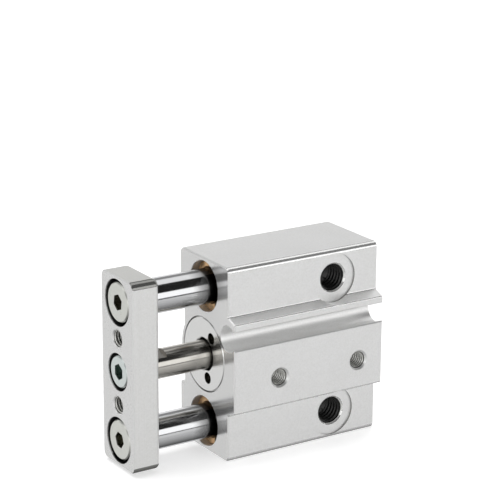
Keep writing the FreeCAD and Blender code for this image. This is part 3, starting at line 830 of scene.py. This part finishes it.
class CYLINDER_OT_aluminium(CylinderOperator):
    """Gives the body, the covers, the plate and the piston their aluminium finishes"""

    bl_idname = "cylinder.aluminium"
    bl_label = "Aluminium pieces"

    def execute(self, context):
        finish = context.scene.cylinder_finishes
        body = anodised("anodised_body", finish.body_colour, finish.body_roughness,
                        finish.machined_roughness, BODY_EDGES)
        # Painted shade on the +Y side of the guide bores.
        bores = body.math("MULTIPLY", body.near_axis(GUIDE_HEIGHT, GUIDE_BORE),
                          body.between_x(*GUIDE_BORE_X))
        shaded_bore_side = body.math("GREATER_THAN", body.at("Y"), SHADED_SIDE * MM)
        body.darken(body.math("MULTIPLY", bores, shaded_bore_side), SHADE_SHARE)
        # Painted shade on the walls of the ports' spotfaces.
        spotfaces = body.math("MULTIPLY", body.near_axis(GUIDE_HEIGHT, SPOTFACE, "X", PORT_X),
                              body.below("Y", SIDE_FACE))
        upright = body.math("LESS_THAN", body.facing()[1], 0.5)
        body.darken(body.math("MULTIPLY", spotfaces, upright), EDGE_SHARE)
        give(body.material, "body")
        plate = anodised("anodised_plate", finish.plate_colour, finish.plate_roughness,
                         finish.plate_end_roughness, PLATE_EDGES)
        # Painted shade in the plate's counterbores.
        bores = plate.math("MAXIMUM", plate.near_axis(GUIDE_HEIGHT, GUIDE_COUNTERBORE),
                           plate.near_axis(0.0, ROD_COUNTERBORE))
        inside = plate.between_x(PLATE_BACK + COUNTERBORE_LIP, PLATE_FRONT - COUNTERBORE_LIP)
        plate.darken(plate.math("MULTIPLY", inside, bores), HOLE_SHARE)
        # Painted shade on the plate's long roundings.
        plate.darken(plate.long_edges(PLATE_EDGES), EDGE_SHARE)
        flat_sides = plate.math("GREATER_THAN", plate.facing()[1], FLAT_FACING)
        brushed = plate.noise((0.16, 0.16, 12.0))
        plate.darken(plate.math("MULTIPLY", flat_sides, brushed), BRUSHED_SHARE)
        # Painted shade on the top and bottom of the plate.
        plate.darken(plate.math("GREATER_THAN", plate.facing()[2], FLAT_FACING), TOP_SHARE)
        give(plate.material, "plate")
        cover = turned("turned_cover", finish.cover_colour, finish.cover_roughness)
        # Painted shade in the spanner holes.
        cover.darken(cover.between_x(*SPANNER_HOLES_X), SPANNER_HOLE_SHARE)
        give(cover.material, "rod_cover")
        give(turned("turned_pieces", finish.cover_colour, finish.cover_roughness).material, "head_cover",
             "piston_front", "piston_rear")
        return {"FINISHED"}


class CYLINDER_OT_rods(CylinderOperator):
    """Gives the guide rods and the piston rod their ground finishes"""

    bl_idname = "cylinder.rods"
    bl_label = "Rods"

    def execute(self, context):
        finish = context.scene.cylinder_finishes
        give(hard_chrome("hard_chrome", finish.chrome_colour, finish.chrome_roughness), "guide_rod_top",
             "guide_rod_bottom")
        give(ground_steel("ground_steel", finish.rod_colour, finish.rod_roughness), "piston_rod")
        return {"FINISHED"}


class CYLINDER_OT_bushes(CylinderOperator):
    """Gives the bushes their sintered bronze"""

    bl_idname = "cylinder.bushes"
    bl_label = "Bushes"

    def execute(self, context):
        finish = context.scene.cylinder_finishes
        give(sintered_bronze("sintered_bronze", finish.bronze_colour, finish.bronze_roughness),
             "guide_bush_top", "guide_bush_bottom", "rod_bush")
        return {"FINISHED"}


class CYLINDER_OT_screws(CylinderOperator):
    """Gives the plate's screws and the retaining ring their steel finishes"""

    bl_idname = "cylinder.screws"
    bl_label = "Screws and ring"

    def execute(self, context):
        finish = context.scene.cylinder_finishes
        give(plated_screw("nickel_screw", finish.guide_screw_colour, finish.screw_roughness,
                          SOCKET_SHARE), "guide_screw_top", "guide_screw_bottom")
        give(plated_screw("zinc_screw", finish.rod_screw_colour, finish.screw_roughness,
                          ROD_SOCKET_SHARE), "rod_screw")
        give(dark_steel("spring_steel", finish.ring_colour, finish.ring_roughness), "retaining_ring")
        return {"FINISHED"}


class CYLINDER_OT_seals(CylinderOperator):
    """Gives the seals, the bumpers and the magnet their finishes"""

    bl_idname = "cylinder.seals"
    bl_label = "Seals, bumpers and magnet"

    def execute(self, context):
        finish = context.scene.cylinder_finishes
        give(moulded("nitrile_rubber", finish.rubber_colour, finish.rubber_roughness),
             "rod_cover_oring", "rod_seal", "head_cover_oring", "piston_seal")
        give(moulded("urethane_rubber", finish.bumper_colour, finish.rubber_roughness),
             "front_bumper", "rear_bumper")
        give(moulded("bonded_magnet", finish.magnet_colour, finish.magnet_roughness), "piston_magnet")
        return {"FINISHED"}


class CYLINDER_OT_port_threads(CylinderOperator):
    """Adds the threads of the two air ports"""

    bl_idname = "cylinder.port_threads"
    bl_label = "Air port threads"

    def execute(self, context):
        settings = context.scene.cylinder_threads
        metal = thread_metal("port_metal", "Y", PORT_MOUTH, PORT_SHARE)
        chamfer = settings.port_chamfer * MM
        for end in ("top", "bottom"):
            port = mount("port_" + end)
            add_thread("port_thread_" + end, "housing", port["pos_m"], port["axis"],
                       port["dims"]["r_mm"] * MM, settings.port_pitch * MM, settings.port_depth * MM,
                       chamfer, metal, settings)
        return {"FINISHED"}


class CYLINDER_OT_mounting_threads(CylinderOperator):
    """Adds the threads of the tapped holes in the band, in the rear face and in the plate"""

    bl_idname = "cylinder.mounting_threads"
    bl_label = "Mounting threads"

    def execute(self, context):
        settings = context.scene.cylinder_threads
        pitch = settings.small_pitch * MM
        groups = (
            ("side_thread", "side_taps", "housing", "body_aluminium", "spacing_x_mm", Vector((1, 0, 0)),
             settings.side_depth, settings.side_chamfer, False, ("Y", SIDE_TAP_MOUTH, SIDE_TAP_SHARE)),
            ("rear_thread", "rear_taps", "housing", "body_aluminium", "spacing_y_mm", Vector((0, 0, 1)),
             settings.rear_depth, settings.side_chamfer, False, ("X", REAR_TAP_MOUTH, REAR_TAP_SHARE)),
            ("plate_thread", "plate_taps", "slide", "plate_aluminium", "spacing_y_mm", Vector((0, 0, 1)),
             PLATE_FRONT - PLATE_BACK, settings.plate_chamfer, True,
             ("X", PLATE_FRONT - COUNTERBORE_LIP, PLATE_TAP_SHARE)),
        )
        for name, where, body, slot, spacing, along, depth, chamfer, through, look in groups:
            metal = thread_metal(name + "_metal", *look)
            taps = mount(where)
            half = taps["dims"][spacing] * MM / 2
            for number, side in enumerate((1, -1), 1):
                mouth = Vector(taps["pos_m"]) + along * half * side
                add_thread(f"{name}_{number}", body, mouth, taps["axis"],
                           taps["dims"]["hole_r_mm"] * MM, pitch, depth * MM, chamfer * MM, metal,
                           settings, through)
        return {"FINISHED"}


class CYLINDER_OT_stage(CylinderOperator):
    """Adds the floor, the white surroundings, the lamps and the camera"""

    bl_idname = "cylinder.stage"
    bl_label = "Studio"

    def execute(self, context):
        studio = context.scene.cylinder_studio
        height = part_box("body")[0].z
        corners = [(x * FLOOR_REACH, y * FLOOR_REACH, height)
                   for x, y in ((-1, -1), (1, -1), (1, 1), (-1, 1))]
        floor = add_stage("floor", corners, [(0, 1, 2, 3)], floor_material(studio.floor_white))
        floor.visible_glossy = False
        add_world(studio.surround)
        add_card("soft_card", SOFT_ARC, even_glow("soft_card", studio.soft_card))
        add_card("front_card", FRONT_ARC, even_glow("front_card", studio.front_card))
        add_card("back_card", BACK_ARC, even_glow("back_card", studio.back_card))
        add_card("table_edge", TABLE_EDGE_ARC, even_glow("table_edge", studio.table_edge))
        add_card("under_card", UNDER_ARC, falling_glow("under_card", studio.floor_near, studio.floor_under))
        add_card("far_card", FAR_ARC, even_glow("far_card", studio.far_card))
        add_panel("panel_top", angle=78.0, azimuth=0.0, distance=0.7, radiance=studio.top_light)
        add_panel("panel_front", angle=14.0, azimuth=175.0, distance=0.8, radiance=studio.panel_light)
        add_camera(studio)
        context.scene.view_settings.view_transform = "Standard"
        return {"FINISHED"}


OPERATORS = (CYLINDER_OT_aluminium, CYLINDER_OT_rods, CYLINDER_OT_bushes, CYLINDER_OT_screws,
             CYLINDER_OT_seals, CYLINDER_OT_port_threads, CYLINDER_OT_mounting_threads, CYLINDER_OT_stage)
SETTINGS = (CylinderFinishSettings, CylinderThreadSettings, CylinderStudioSettings)


class CYLINDER_PT_looks(bpy.types.Panel):
    """Lists the cylinder's operators and settings"""

    bl_idname = "CYLINDER_PT_looks"
    bl_label = "Guided cylinder"
    bl_space_type = "VIEW_3D"
    bl_region_type = "UI"
    bl_category = "Cylinder"

    def draw(self, context):
        column = self.layout.column()
        for operator in OPERATORS:
            column.operator(operator.bl_idname)
        for name in ("cylinder_finishes", "cylinder_threads", "cylinder_studio"):
            group = getattr(context.scene, name)
            for key in group.bl_rna.properties.keys():
                if key not in ("rna_type", "name"):
                    column.prop(group, key)


def register():
    """Registers the settings, the operators and the panel."""
    for cls in SETTINGS + OPERATORS + (CYLINDER_PT_looks,):
        bpy.utils.register_class(cls)
    bpy.types.Scene.cylinder_finishes = PointerProperty(type=CylinderFinishSettings)
    bpy.types.Scene.cylinder_threads = PointerProperty(type=CylinderThreadSettings)
    bpy.types.Scene.cylinder_studio = PointerProperty(type=CylinderStudioSettings)


def unregister():
    """Takes away what register added."""
    del bpy.types.Scene.cylinder_studio
    del bpy.types.Scene.cylinder_threads
    del bpy.types.Scene.cylinder_finishes
    for cls in reversed(SETTINGS + OPERATORS + (CYLINDER_PT_looks,)):
        bpy.utils.unregister_class(cls)


def main():
    """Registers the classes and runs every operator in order."""
    register()
    for operator in OPERATORS:
        group, name = operator.bl_idname.split(".")
        getattr(getattr(bpy.ops, group), name)()


if __name__ == "__main__":
    main()
